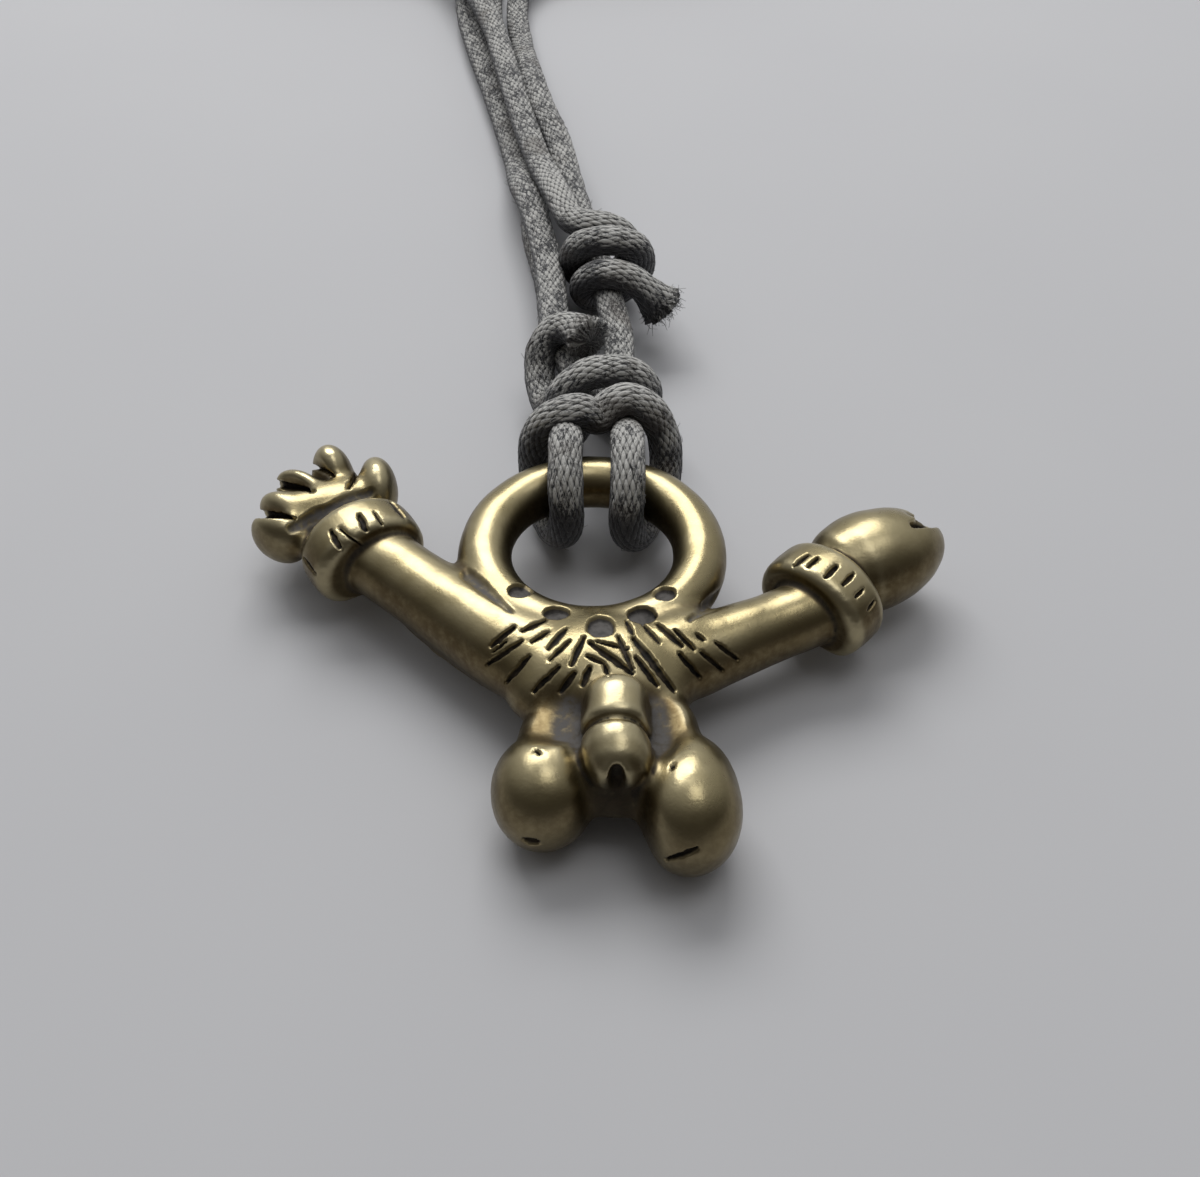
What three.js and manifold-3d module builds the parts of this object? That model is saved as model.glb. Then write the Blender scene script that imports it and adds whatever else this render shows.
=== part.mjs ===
// Cast phallus amulet on a knotted cord.
// Millimetres, +Z up. The amulet lies on its back on a flat surface at z = 0, with the hand at -X,
// the glans at +X, the phallus towards -Y and the ring with its cord towards +Y.
// Plan points are measured from the middle of the suspension ring, heights from the surface.

import * as THREE from 'three';
import { mergeVertices } from 'three/addons/utils/BufferGeometryUtils.js';
import Module from 'manifold-3d';

const wasm = await Module();
wasm.setup();

// Suspension ring
const RING_RADIUS = 5.98;
const RING_BAR = 3.08;

// Flat back of the trunk, arms, cuffs and ends, and the depth of the flats that the testicles rest on
const BACK_HEIGHT = 1.6;
const REST_FLAT = 0.15;

// Trunk under the ring
const TRUNK = { x: 0.4, y: -8.3, wide: 5.3, deep: 4.0, high: 2.75 };
const SHOULDERS = [{ x: -3.3, turn: 142 }, { x: 4.3, turn: 30 }];
const SHOULDER = { y: -7.0, long: 3.6, wide: 2.4, high: 2.4 };
const LIMB_HEIGHT = 3.45;

// Arms: where the middle line starts, its direction in plan, its length, and the thickness at both ends
const LEFT_ARM = { x: -1.0, y: -9.4, turn: 139.4, length: 15.0, root: 4.9, wrist: 4.1 };
const RIGHT_ARM = { x: 1.6, y: -8.9, turn: 26.0, length: 11.8, root: 4.5, wrist: 3.7 };

// Cuffs, each with the direction of its axis and its place from the wrist
const LEFT_CUFF = { turn: 123, ahead: 0.62, aside: 0.22, radius: 3.42, width: 2.9, high: 0.86 };
const RIGHT_CUFF = { turn: 46, ahead: 0.75, aside: 0.35, radius: 3.45, width: 2.9, high: 0.84 };

// Hand in the fig sign, from the middle of the cuff: the heel, the palm, three curled fingers,
// the thumb between the fingers and the index finger, and the wedges cut between the fingers
const HEEL = { ahead: 1.4, aside: 0.1, turn: 0, long: 1.7, wide: 3.0, high: 1.3 };
const PALM = { ahead: 4.2, aside: 0.4, turn: -8, long: 2.2, wide: 3.6, high: 1.75 };
const FINGERS = [
  { ahead: 3.65, aside: 3.4, turn: 30, long: 1.95, wide: 1.25, high: 1.85 },
  { ahead: 4.8, aside: 2.3, turn: 27, long: 2.2, wide: 1.0, high: 1.75 },
  { ahead: 5.85, aside: 0.75, turn: 22, long: 2.4, wide: 1.1, high: 1.75 },
  { ahead: 6.5, aside: -1.3, turn: -8, long: 1.8, wide: 1.25, high: 2.35 },
  { ahead: 4.2, aside: -3.1, turn: -20, long: 2.05, wide: 1.15, high: 1.95 },
];
const WEDGES = [
  { ahead: 4.8, aside: 3.6, turn: 27, long: 1.9, wide: 0.45, high: 1.4 },
  { ahead: 6.3, aside: 1.55, turn: 29, long: 1.75, wide: 0.4, high: 1.3 },
  { ahead: 6.5, aside: -0.2, turn: 12, long: 1.7, wide: 0.36, high: 1.3 },
];
const WEDGE_HEIGHT = 4.9;

// Glans at the end of the right arm, with its slit
const GLANS = { ahead: 1.5, aside: 2.0, length: 7.9, radius: 2.95, high: 0.95, turn: 25 };
const NOTCH = { ahead: 6.7, aside: 0.75, z: 5.0, turn: 10, long: 1.3, wide: 0.36, high: 1.2 };

// Central phallus and testicles
const PHALLUS = { x: 1.2, y: -10.7, z: 5.6, length: 6.1, radius: 1.76, tilt: -4 };
const GROOVE_DEPTH = 0.42;
const SLIT = { y: -16.9, z: 5.1, wide: 0.45, deep: 1.35, high: 1.7 };
const TESTICLES = [
  { x: -2.35, y: -15.2, across: 2.65, deep: 2.95, high: 2.95 },
  { x: 4.7, y: -15.5, across: 2.65, deep: 3.1, high: 3.15 },
];
const BRIDGE = { x: 1.2, y: -13.3, z: 3.1, wide: 3.0, deep: 3.4, high: 2.1 };
const NECKS = [
  { x: -1.7, y: -12.5, z: 3.1, long: 2.1, wide: 2.3, high: 1.9 },
  { x: 3.75, y: -12.5, z: 3.2, long: 1.75, wide: 2.6, high: 2.2 },
];

// Thin lip that the casting has along the back of the left arm
const LIP = { x: -6.2, y: -5.0, turn: 139.4, long: 7.2, wide: 2.05, thick: 0.45 };

// Cord
const CORD = 2.0;
const FLOOR_GAP = 0.05;
const CLEARANCE = 0.3;
const KNOT_CLEARANCE = 0.2;
const HITCH_CLEARANCE = 0.42;
const HINGE_INWARD = 0.15;
const TURN_GAP = 0.45;
const BUTT_GAP = 0.3;

// Put-away coils of the neck loop
const COIL_RADIUS = 13.3;
const COIL_TURNS = 3.75;
const COIL_NEAR = 80.2;
const LEFT_RIM_X = -12.4;
const RIGHT_RIM_X = -9.8;
const TIE_THICKNESS = 0.5;
const TIE_WIDTH = 2.4;

// The cord under the ring's bar lifts the ring
const RING_HEIGHT = FLOOR_GAP + CORD + HITCH_CLEARANCE + RING_BAR / 2;
const BAR_REACH = RING_BAR / 2 + HITCH_CLEARANCE + CORD / 2;
const PITCH = CORD + TURN_GAP;
const LOW = CORD / 2 + FLOOR_GAP;
const RAISED = LOW + PITCH;
const WRAP = CORD + KNOT_CLEARANCE;
const COIL_LOW = FLOOR_GAP + TIE_THICKNESS + CLEARANCE + CORD / 2;
const COIL_HIGH = COIL_LOW + PITCH;
const COIL_Y = COIL_NEAR + COIL_RADIUS;
const LEFT_COIL_X = LEFT_RIM_X - COIL_RADIUS;
const RIGHT_COIL_X = RIGHT_RIM_X + COIL_RADIUS;

const BRONZE = new THREE.MeshStandardMaterial({ color: 0x9a8248, roughness: 0.36, metalness: 1.0 });
const WAXED_COTTON = new THREE.MeshStandardMaterial({ color: 0x34353a, roughness: 0.82, metalness: 0.0 });
const TIE_COTTON = new THREE.MeshStandardMaterial({ color: 0x2a2b2e, roughness: 0.9, metalness: 0.0 });

const radians = THREE.MathUtils.degToRad;
const point = (x, y, z) => new THREE.Vector3(x, y, z);

// A closed mesh with shared corners and no flat triangles, facing out
function closed(geometry) {
  const bare = geometry.index ? geometry.toNonIndexed() : geometry.clone();
  for (const name of Object.keys(bare.attributes)) {
    if (name !== 'position') bare.deleteAttribute(name);
  }
  const merged = mergeVertices(bare, 1e-4);
  const index = Array.from(merged.index.array);
  const kept = [];
  for (let i = 0; i < index.length; i += 3) {
    const [a, b, c] = index.slice(i, i + 3);
    if (a !== b && b !== c && c !== a) kept.push(a, b, c);
  }
  const at = merged.attributes.position;
  const corner = (i) => new THREE.Vector3().fromBufferAttribute(at, i);
  let volume = 0;
  for (let i = 0; i < kept.length; i += 3) {
    volume += corner(kept[i]).dot(corner(kept[i + 1]).cross(corner(kept[i + 2])));
  }
  if (volume < 0) kept.reverse();
  merged.setIndex(kept);
  return merged;
}

function solid(geometry) {
  const mesh = closed(geometry);
  return new wasm.Manifold(new wasm.Mesh({
    numProp: 3,
    vertProperties: new Float32Array(mesh.attributes.position.array),
    triVerts: new Uint32Array(mesh.index.array),
  }));
}

function geometryOf(manifold) {
  const mesh = manifold.getMesh();
  const geometry = new THREE.BufferGeometry();
  geometry.setAttribute('position', new THREE.BufferAttribute(new Float32Array(mesh.vertProperties), 3));
  geometry.setIndex(new THREE.BufferAttribute(new Uint32Array(mesh.triVerts), 1));
  geometry.computeVertexNormals();
  return geometry;
}

const joined = (solids) => solids.reduce((whole, next) => whole.add(next));

// Rounded lump with its long axis turned in plan
function lump({ x, y, z, turn = 0, long, wide, high }) {
  const geometry = new THREE.SphereGeometry(1, 20, 12);
  geometry.scale(long, wide, high);
  geometry.rotateZ(radians(turn));
  geometry.translate(x, y, z);
  return solid(geometry);
}

// Profile of [along, radius] pairs turned about an axis that lies along the plan direction
function turned(profile, { x, y, z, turn, tilt = 0, high = 1 }, segments = 28) {
  const outline = profile.map(([along, radius]) => new THREE.Vector2(radius, along));
  const geometry = new THREE.LatheGeometry(outline, segments);
  geometry.rotateZ(-Math.PI / 2);
  geometry.scale(1, 1, high);
  geometry.rotateY(-radians(tilt));
  geometry.rotateZ(radians(turn));
  geometry.translate(x, y, z);
  return solid(geometry);
}

// Place reached from a start point in a plan direction, with an offset to the left of it
function reach(start, turn, ahead, aside = 0) {
  const c = Math.cos(radians(turn));
  const s = Math.sin(radians(turn));
  return { x: start.x + c * ahead - s * aside, y: start.y + s * ahead + c * aside };
}

function block(x0, x1, y0, y1, z0, z1) {
  const geometry = new THREE.BoxGeometry(x1 - x0, y1 - y0, z1 - z0);
  geometry.translate((x0 + x1) / 2, (y0 + y1) / 2, (z0 + z1) / 2);
  return solid(geometry);
}

function suspensionRing() {
  const geometry = new THREE.TorusGeometry(RING_RADIUS, RING_BAR / 2, 16, 48);
  geometry.translate(0, 0, RING_HEIGHT);
  return solid(geometry);
}

// Round arm that thins from the trunk to the wrist
function arm({ x, y, turn, length, root, wrist }) {
  const profile = [
    [0, 0], [0, root * 0.36], [0.5, root * 0.46], [length * 0.35, root * 0.485], [length * 0.7, wrist * 0.515],
    [length, wrist * 0.5], [length + 0.8, wrist * 0.48], [length + 0.8, 0],
  ];
  return turned(profile, { x, y, z: LIMB_HEIGHT, turn });
}

// Cuff: a broad collar round the wrist with rounded rims
function cuff(wristAt, { turn, ahead, aside, radius, width, high }) {
  const half = width / 2;
  const at = reach(wristAt, turn, ahead, aside);
  const profile = [
    [-half, 0], [-half, radius * 0.8], [-half * 0.92, radius * 0.91], [-half * 0.7, radius * 0.985],
    [0, radius], [half * 0.7, radius * 0.985], [half * 0.92, radius * 0.91], [half, radius * 0.8], [half, 0],
  ];
  return turned(profile, { ...at, z: LIMB_HEIGHT, turn, high });
}

// Fist with the thumb pushed out between the fingers
function figHand(wristAt) {
  const { turn, ahead, aside } = LEFT_CUFF;
  const cuffAt = reach(wristAt, turn, ahead, aside);
  const shape = (piece, z) =>
    lump({ ...piece, ...reach(cuffAt, turn, piece.ahead, piece.aside), z, turn: turn + piece.turn });
  const fist = joined([HEEL, PALM, ...FINGERS].map((piece) => shape(piece, LIMB_HEIGHT)));
  return fist.subtract(joined(WEDGES.map((piece) => shape(piece, WEDGE_HEIGHT))));
}

// Egg-shaped glans with a notch in its tip
function armGlans(wristAt) {
  const { ahead, aside, length, radius, high, turn } = GLANS;
  const start = reach(wristAt, turn, ahead, aside);
  const profile = [
    [0, 0], [0, radius * 0.6], [length * 0.1, radius * 0.84], [length * 0.25, radius * 0.98],
    [length * 0.42, radius], [length * 0.6, radius * 0.93], [length * 0.76, radius * 0.76],
    [length * 0.89, radius * 0.5], [length * 0.97, radius * 0.24], [length, 0],
  ];
  const egg = turned(profile, { ...start, z: LIMB_HEIGHT, turn, high });
  const notch = lump({ ...NOTCH, ...reach(start, turn, NOTCH.ahead, NOTCH.aside), turn: turn + NOTCH.turn });
  return egg.subtract(notch);
}

// Phallus: shaft with a rounded back, a groove, and the glans with a slit under its tip
function centralPhallus() {
  const { x, y, z, length, radius, tilt } = PHALLUS;
  const profile = [
    [0, 0], [0.05, radius * 0.55], [0.45, radius * 0.86], [1.0, radius * 0.98], [1.6, radius],
    [length * 0.44, radius], [length * 0.465, radius - GROOVE_DEPTH], [length * 0.5, radius - GROOVE_DEPTH],
    [length * 0.53, radius * 0.97], [length * 0.66, radius], [length * 0.8, radius * 0.86],
    [length * 0.92, radius * 0.56], [length * 0.98, radius * 0.26], [length, 0],
  ];
  const whole = turned(profile, { x, y, z, turn: -90, tilt });
  return whole.subtract(lump({ x, y: SLIT.y, z: SLIT.z, long: SLIT.wide, wide: SLIT.deep, high: SLIT.high }));
}

function testicle({ x, y, across, deep, high }) {
  return lump({ x, y, z: high - REST_FLAT, long: across, wide: deep, high });
}

function amuletCasting() {
  const leftWrist = reach(LEFT_ARM, LEFT_ARM.turn, LEFT_ARM.length);
  const rightWrist = reach(RIGHT_ARM, RIGHT_ARM.turn, RIGHT_ARM.length);
  const flatBacked = joined([
    lump({ x: TRUNK.x, y: TRUNK.y, z: LIMB_HEIGHT, long: TRUNK.wide, wide: TRUNK.deep, high: TRUNK.high }),
    ...SHOULDERS.map((side) => lump({ ...SHOULDER, ...side, z: LIMB_HEIGHT })),
    arm(LEFT_ARM), arm(RIGHT_ARM),
    cuff(leftWrist, LEFT_CUFF), cuff(rightWrist, RIGHT_CUFF),
    figHand(leftWrist), armGlans(rightWrist),
    lump({ ...LIP, z: BACK_HEIGHT, high: LIP.thick }),
  ]);
  const behind = block(-60, 60, -60, 60, -30, BACK_HEIGHT);
  const full = joined([
    suspensionRing(), centralPhallus(), ...TESTICLES.map(testicle),
    lump({ ...BRIDGE, long: BRIDGE.wide, wide: BRIDGE.deep }), ...NECKS.map(lump),
  ]);
  const under = block(-60, 60, -60, 60, -30, 0);
  return geometryOf(flatBacked.subtract(behind).add(full).subtract(under));
}

// Smooth route through chosen points
function route(points) {
  const path = new THREE.CatmullRomCurve3(points, false, 'centripetal');
  path.arcLengthDivisions = 1200;
  return path;
}

function cordTube(path, steps, sides, thickness = CORD) {
  const section = new THREE.Shape();
  for (let i = 0; i < sides; i += 1) {
    const angle = (2 * Math.PI * (i + 0.5)) / sides;
    const at = [Math.cos(angle) * thickness / 2, Math.sin(angle) * thickness / 2];
    if (i === 0) section.moveTo(...at);
    else section.lineTo(...at);
  }
  section.closePath();
  return closed(new THREE.ExtrudeGeometry(section, { steps, extrudePath: path, bevelEnabled: false }));
}

// Least free gap between parts of one tube that lie more than two thicknesses apart along it
function leastGap(name, path) {
  const count = 500;
  const places = path.getSpacedPoints(count);
  const apart = Math.ceil((CORD * 2.2) / (path.getLength() / count));
  let least = Infinity;
  for (let i = 0; i < count; i += 1) {
    for (let j = i + apart; j <= count; j += 1) least = Math.min(least, places[i].distanceTo(places[j]));
  }
  console.log(`${name}: length ${path.getLength().toFixed(1)} mm, least gap to itself ${(least - CORD).toFixed(2)} mm`);
}

// The cord's plan points are measured from the middle of the ring's bar, where the hitch sits.
// Point on the cord as it lies round the bar: 0 is outside the ring, 90 on top, 180 in the hole.
// The bar curves away from the line that the ring turns on, so the legs lie round the middle of its sweep.
function roundBar(x, angle) {
  const inward = RING_RADIUS - Math.sqrt(RING_RADIUS ** 2 - x ** 2);
  const sweep = angle > 180 ? 0 : (inward - HINGE_INWARD) / 2;
  const along = BAR_REACH * Math.cos(radians(angle)) - inward + sweep;
  return point(x, along, RING_HEIGHT + BAR_REACH * Math.sin(radians(angle)) + sweep);
}

// Line that the upper knot slides on: the right strand runs straight there
const SLIDE_START = point(0.6, 22.6, RAISED);
const SLIDE_ALONG = point(-0.2, 1, 0).normalize();
const SLIDE_ASIDE = point(SLIDE_ALONG.y, -SLIDE_ALONG.x, 0);

function onSlide(along, aside = 0, above = 0) {
  const at = SLIDE_START.clone().addScaledVector(SLIDE_ALONG, along).addScaledVector(SLIDE_ASIDE, aside);
  return at.add(point(0, 0, above));
}

const roundSlide = (along, angle, away = WRAP) =>
  onSlide(along, away * Math.cos(radians(angle)), away * Math.sin(radians(angle)));

const KNOT_LEAD = 4.9;
const LEG_END = 6.2;
const LEG_HEIGHT = 2.8;
const LEFT_LEG = -1.35;
const RIGHT_LEG = 1.75;

// Cow hitch: both legs lie over the bar, pass under it and join in one bight across the legs behind it
function hitchRoute() {
  const leg = (foot, top, under) => [
    point(foot, LEG_END, LEG_HEIGHT), point(foot, 5.2, 2.5), point(foot, 4.3, 2.45), point(foot, 3.55, 2.9),
    point(top, 3.15, 3.65), roundBar(top, 10), roundBar(top, 35), roundBar(top, 60), roundBar(top, 90),
    roundBar(top, 120), roundBar(top, 150), roundBar(top, 180), roundBar(top * 0.8 + under * 0.2, 210),
    roundBar(top * 0.45 + under * 0.55, 240), roundBar(under, 270),
  ];
  const left = [...leg(LEFT_LEG, -1.55, -2.7), point(-3.15, 1.6, 1.2), point(-3.45, 3.1, 2.0), point(-3.4, 4.3, 3.15),
    point(-2.85, 5.05, 4.25), point(-1.75, 5.25, 4.7), point(-0.7, 5.2, 4.75)];
  const right = [...leg(RIGHT_LEG, 1.85, 3.2), point(4.1, 1.9, 1.4), point(4.4, 3.7, 2.5), point(4.1, 5.0, 3.75),
    point(3.1, 5.65, 4.6), point(2.0, 5.8, 4.85), point(1.15, 5.4, 4.7)];
  return route([...left, point(0.35, 4.95, 4.45), ...right.reverse()]);
}

// Upper sliding knot: three passes over the right strand, the middle one the fullest, then the cut end
function upperKnotRoute() {
  return route([
    roundSlide(KNOT_LEAD, 140, WRAP + 0.3), roundSlide(3.8, 140, WRAP + 0.2), roundSlide(3.0, 116, WRAP + 0.05),
    roundSlide(2.6, 82), roundSlide(2.4, 42), roundSlide(2.2, 0), roundSlide(2.0, -45), roundSlide(1.8, -90),
    roundSlide(1.5, -135), roundSlide(1.1, -180, WRAP + 0.1), roundSlide(0.7, -222, WRAP + 0.25),
    roundSlide(0.35, -265, WRAP + 0.4), roundSlide(0.1, -310, WRAP + 0.5), roundSlide(-0.15, -355, WRAP + 0.5),
    roundSlide(-0.45, -400, WRAP + 0.2), roundSlide(-0.8, -445), roundSlide(-1.3, -490), roundSlide(-1.9, -535),
    roundSlide(-2.5, -577), roundSlide(-3.1, -617), roundSlide(-3.6, -655), onSlide(-4.2, 1.85, 1.4),
    onSlide(-4.9, 2.5, 0.5), onSlide(-5.5, 2.8, -0.4), onSlide(-6.0, 3.05, -1.2),
  ]);
}

// Lower sliding knot: round the left strand, under both strands, over both, end turned back on top
function lowerKnotRoute() {
  return route([
    point(-3.62, 20.3, LOW), point(-3.2, 18, LOW), point(-2.1, 16.2, LOW + 0.1), point(-0.95, 15.1, LOW + 1.1),
    point(-0.55, 14.4, RAISED - 0.1), point(-0.6, 13.6, RAISED + 1.4), point(-1.2, 12.6, RAISED + 2.2),
    point(-2.2, 11.8, RAISED + 2.25), point(-3.4, 11.2, RAISED + 1.25), point(-3.65, 10.6, RAISED - 0.3),
    point(-3.1, 9.9, LOW + 0.9), point(-1.9, 9.3, LOW + 0.05), point(0.2, 8.9, LOW), point(2.05, 8.7, LOW + 0.1),
    point(3.45, 8.5, LOW + 1.15), point(3.92, 8.35, RAISED + 0.2), point(3.32, 8.2, RAISED + 1.7),
    point(2.0, 8.0, RAISED + 2.45), point(0.6, 7.85, RAISED + 2.45), point(-0.7, 7.85, RAISED + 2.35),
    point(-1.7, 8.2, RAISED + 2.2), point(-1.95, 9.0, RAISED + 2.2), point(-1.4, 9.75, RAISED + 2.35),
    point(-0.6, 10.2, RAISED + 2.5), point(0.1, 10.6, RAISED + 2.7),
  ]);
}

// One flat coil of the neck loop: spirals in on the lower layer, climbs, and spirals out on the upper one.
// Hand is 1 for a coil that starts at its right rim and -1 for its mirror image.
function coilRoute(centreX, hand) {
  class Coil extends THREE.Curve {
    getPoint(t, target = new THREE.Vector3()) {
      const whole = 2 * Math.PI * COIL_TURNS;
      const lead = CORD / COIL_RADIUS;
      const angle = t * (whole + 2 * lead) - lead;
      const turn = THREE.MathUtils.clamp(angle, 0, whole);
      const radius = COIL_RADIUS - (PITCH * Math.min(turn, whole - turn)) / (2 * Math.PI);
      const climb = THREE.MathUtils.smoothstep(turn, whole / 2 - Math.PI / 2, whole / 2 + Math.PI / 2);
      const straight = (angle - turn) * COIL_RADIUS;
      const aside = radius * Math.cos(turn) - straight * Math.sin(turn);
      const ahead = radius * Math.sin(turn) + straight * Math.cos(turn);
      return target.set(centreX + hand * aside, COIL_Y + ahead, COIL_LOW + PITCH * climb);
    }
  }
  const path = new Coil();
  path.arcLengthDivisions = 2000;
  return path;
}

const COIL_START_Y = COIL_Y - CORD - BUTT_GAP;
const COIL_END_X = CORD + BUTT_GAP;

// Left strand: from the hitch through the lower knot to the left coil
function leftStrandRoute() {
  return route([
    point(LEFT_LEG, LEG_END + BUTT_GAP, LEG_HEIGHT + 0.1), point(-1.25, 7.4, RAISED - 0.2), point(-1.05, 8.6, RAISED),
    point(-1.1, 10, RAISED), point(-1.75, 12, RAISED), point(-2.75, 14.4, RAISED), point(-3.25, 17, RAISED),
    point(-3.7, 20, RAISED), point(-4.05, 23.5, RAISED), point(-4.75, 27, RAISED), point(-5.6, 31, RAISED),
    point(-6.1, 33.5, RAISED - 0.2), point(-6.4, 35.5, 2.75), point(-6.75, 39.5, LOW + 0.3), point(-7.5, 46, LOW),
    point(-9.2, 54, LOW), point(-10.8, 61, LOW), point(-12.2, 69, LOW), point(-12.5, 78, LOW),
    point(LEFT_RIM_X, COIL_START_Y - 4, COIL_LOW), point(LEFT_RIM_X, COIL_START_Y, COIL_LOW),
  ]);
}

// Left feed: from the upper knot to the left coil, lying on the left strand
function leftFeedRoute() {
  return route([
    roundSlide(KNOT_LEAD + BUTT_GAP, 140, WRAP + 0.3), roundSlide(7.4, 142, WRAP + 0.25), point(-4.55, 37, RAISED + 0.3),
    point(-5.45, 41.5, RAISED), point(-6.55, 46, RAISED), point(-8.4, 54, RAISED), point(-10.2, 61, RAISED),
    point(-12.2, 69, RAISED), point(-13.4, 73.5, RAISED + 0.1),
    point(LEFT_COIL_X + COIL_END_X + 8, COIL_NEAR - 2.6, RAISED + 0.4),
    point(LEFT_COIL_X + COIL_END_X + 4, COIL_NEAR - 0.3, COIL_HIGH),
    point(LEFT_COIL_X + COIL_END_X, COIL_NEAR, COIL_HIGH),
  ]);
}

// Right strand: from the hitch through both knots to the right coil
function rightStrandRoute() {
  return route([
    point(RIGHT_LEG, LEG_END + BUTT_GAP, LEG_HEIGHT + 0.1), point(1.65, 7.4, RAISED - 0.2), point(1.6, 8.6, RAISED),
    point(1.6, 11, RAISED), point(1.6, 14.4, RAISED), onSlide(-4.6), onSlide(0), onSlide(6), onSlide(12.5),
    point(-2.95, 40.5, RAISED), point(-4.3, 46, RAISED), point(-5.15, 51, RAISED - 0.2), point(-5.75, 56, 2.3),
    point(-6.45, 61.5, LOW + 0.2), point(-7.35, 69, LOW), point(-6.9, 73.5, LOW + 0.9),
    point(RIGHT_COIL_X - COIL_END_X - 6.2, COIL_NEAR - 2.4, LOW + 2.3),
    point(RIGHT_COIL_X - COIL_END_X - 3, COIL_NEAR - 0.3, COIL_HIGH),
    point(RIGHT_COIL_X - COIL_END_X, COIL_NEAR, COIL_HIGH),
  ]);
}

// Right feed: from the lower knot, under the left and right strands, to the right coil
function rightFeedRoute() {
  return route([
    point(-3.68, 20.6, LOW), point(-3.9, 23, LOW), point(-4.55, 27, LOW), point(-5.1, 30, LOW),
    point(-5.0, 33, LOW), point(-4.0, 37, LOW), point(-3.45, 41, LOW), point(-4.4, 46, LOW), point(-5.8, 51, LOW),
    point(-7.5, 56, LOW), point(-8.75, 61, LOW), point(-9.8, 69, LOW), point(RIGHT_RIM_X, 78, LOW),
    point(RIGHT_RIM_X, COIL_START_Y - 4, COIL_LOW), point(RIGHT_RIM_X, COIL_START_Y, COIL_LOW),
  ]);
}

// Flat tie looped round one coil's turns, at the far side of the coil
function coilTie(centreX) {
  const inner = COIL_RADIUS - (COIL_TURNS * PITCH) / 2 - CORD / 2 - CLEARANCE;
  const outer = COIL_RADIUS + CORD / 2 + CLEARANCE;
  const low = COIL_LOW - CORD / 2 - CLEARANCE;
  const high = COIL_HIGH + CORD / 2 + CLEARANCE;
  const loop = (grow) => {
    const shape = new THREE.Path();
    const corner = 0.9 + grow;
    const [x0, x1, y0, y1] = [inner - grow, outer + grow, low - grow, high + grow];
    shape.moveTo(x0 + corner, y0);
    shape.lineTo(x1 - corner, y0);
    shape.quadraticCurveTo(x1, y0, x1, y0 + corner);
    shape.lineTo(x1, y1 - corner);
    shape.quadraticCurveTo(x1, y1, x1 - corner, y1);
    shape.lineTo(x0 + corner, y1);
    shape.quadraticCurveTo(x0, y1, x0, y1 - corner);
    shape.lineTo(x0, y0 + corner);
    shape.quadraticCurveTo(x0, y0, x0 + corner, y0);
    return shape;
  };
  const band = new THREE.Shape(loop(TIE_THICKNESS).getPoints(4));
  band.holes.push(loop(0));
  const geometry = new THREE.ExtrudeGeometry(band, { depth: TIE_WIDTH, bevelEnabled: false, curveSegments: 4 });
  geometry.translate(0, 0, -TIE_WIDTH / 2);
  geometry.rotateX(Math.PI / 2);
  geometry.rotateZ(Math.PI / 2);
  geometry.translate(centreX, COIL_Y, 0);
  return closed(geometry);
}

const model = new THREE.Group();
const necklace = new THREE.Group();
necklace.position.y = RING_RADIUS;
model.add(necklace);

function place(group, name, geometry, material) {
  const mesh = new THREE.Mesh(geometry, material);
  mesh.name = name;
  group.add(mesh);
  return mesh;
}

function placeCord(name, path, steps, sides) {
  place(necklace, name, cordTube(path, steps, sides), WAXED_COTTON);
  leastGap(name, path);
}

const casting = place(model, 'amulet_casting', amuletCasting(), BRONZE);

placeCord('cow_hitch', hitchRoute(), 76, 8);
placeCord('upper_sliding_knot', upperKnotRoute(), 44, 8);
placeCord('lower_sliding_knot', lowerKnotRoute(), 56, 8);
placeCord('left_strand', leftStrandRoute(), 36, 8);
placeCord('left_feed', leftFeedRoute(), 24, 8);
placeCord('right_strand', rightStrandRoute(), 32, 8);
placeCord('right_feed', rightFeedRoute(), 20, 8);
placeCord('left_coil', coilRoute(LEFT_COIL_X, 1), 92, 6);
placeCord('right_coil', coilRoute(RIGHT_COIL_X, -1), 92, 6);
place(necklace, 'left_coil_tie', coilTie(LEFT_COIL_X), TIE_COTTON);
place(necklace, 'right_coil_tie', coilTie(RIGHT_COIL_X), TIE_COTTON);

// The origin is under the middle of the casting, on the surface
casting.geometry.computeBoundingBox();
const middle = casting.geometry.boundingBox.getCenter(new THREE.Vector3());
model.position.set(-middle.x, -middle.y, 0);
console.log(`ring middle at x ${(-middle.x).toFixed(3)}, y ${(-middle.y).toFixed(3)} mm`);

export default model;
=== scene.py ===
"""Cast amulet on an adjustable braided cord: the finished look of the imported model."""
import math

import bmesh
import bpy
import numpy as np
from mathutils import Matrix
from mathutils import Vector
from mathutils import noise


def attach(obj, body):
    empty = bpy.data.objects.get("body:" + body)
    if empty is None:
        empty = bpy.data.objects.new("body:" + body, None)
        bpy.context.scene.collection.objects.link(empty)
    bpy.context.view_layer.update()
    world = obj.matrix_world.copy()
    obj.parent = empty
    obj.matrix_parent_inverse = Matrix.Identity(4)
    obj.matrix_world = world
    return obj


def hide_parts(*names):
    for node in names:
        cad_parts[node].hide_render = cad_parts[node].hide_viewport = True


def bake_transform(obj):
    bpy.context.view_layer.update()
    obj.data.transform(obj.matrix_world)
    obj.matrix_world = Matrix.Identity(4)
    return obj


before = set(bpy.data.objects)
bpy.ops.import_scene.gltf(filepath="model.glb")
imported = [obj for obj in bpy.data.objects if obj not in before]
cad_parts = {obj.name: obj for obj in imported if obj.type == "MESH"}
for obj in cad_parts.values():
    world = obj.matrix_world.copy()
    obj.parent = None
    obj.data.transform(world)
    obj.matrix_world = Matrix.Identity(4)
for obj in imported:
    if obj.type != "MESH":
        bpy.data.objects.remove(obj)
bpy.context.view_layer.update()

MM = 0.001


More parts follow.
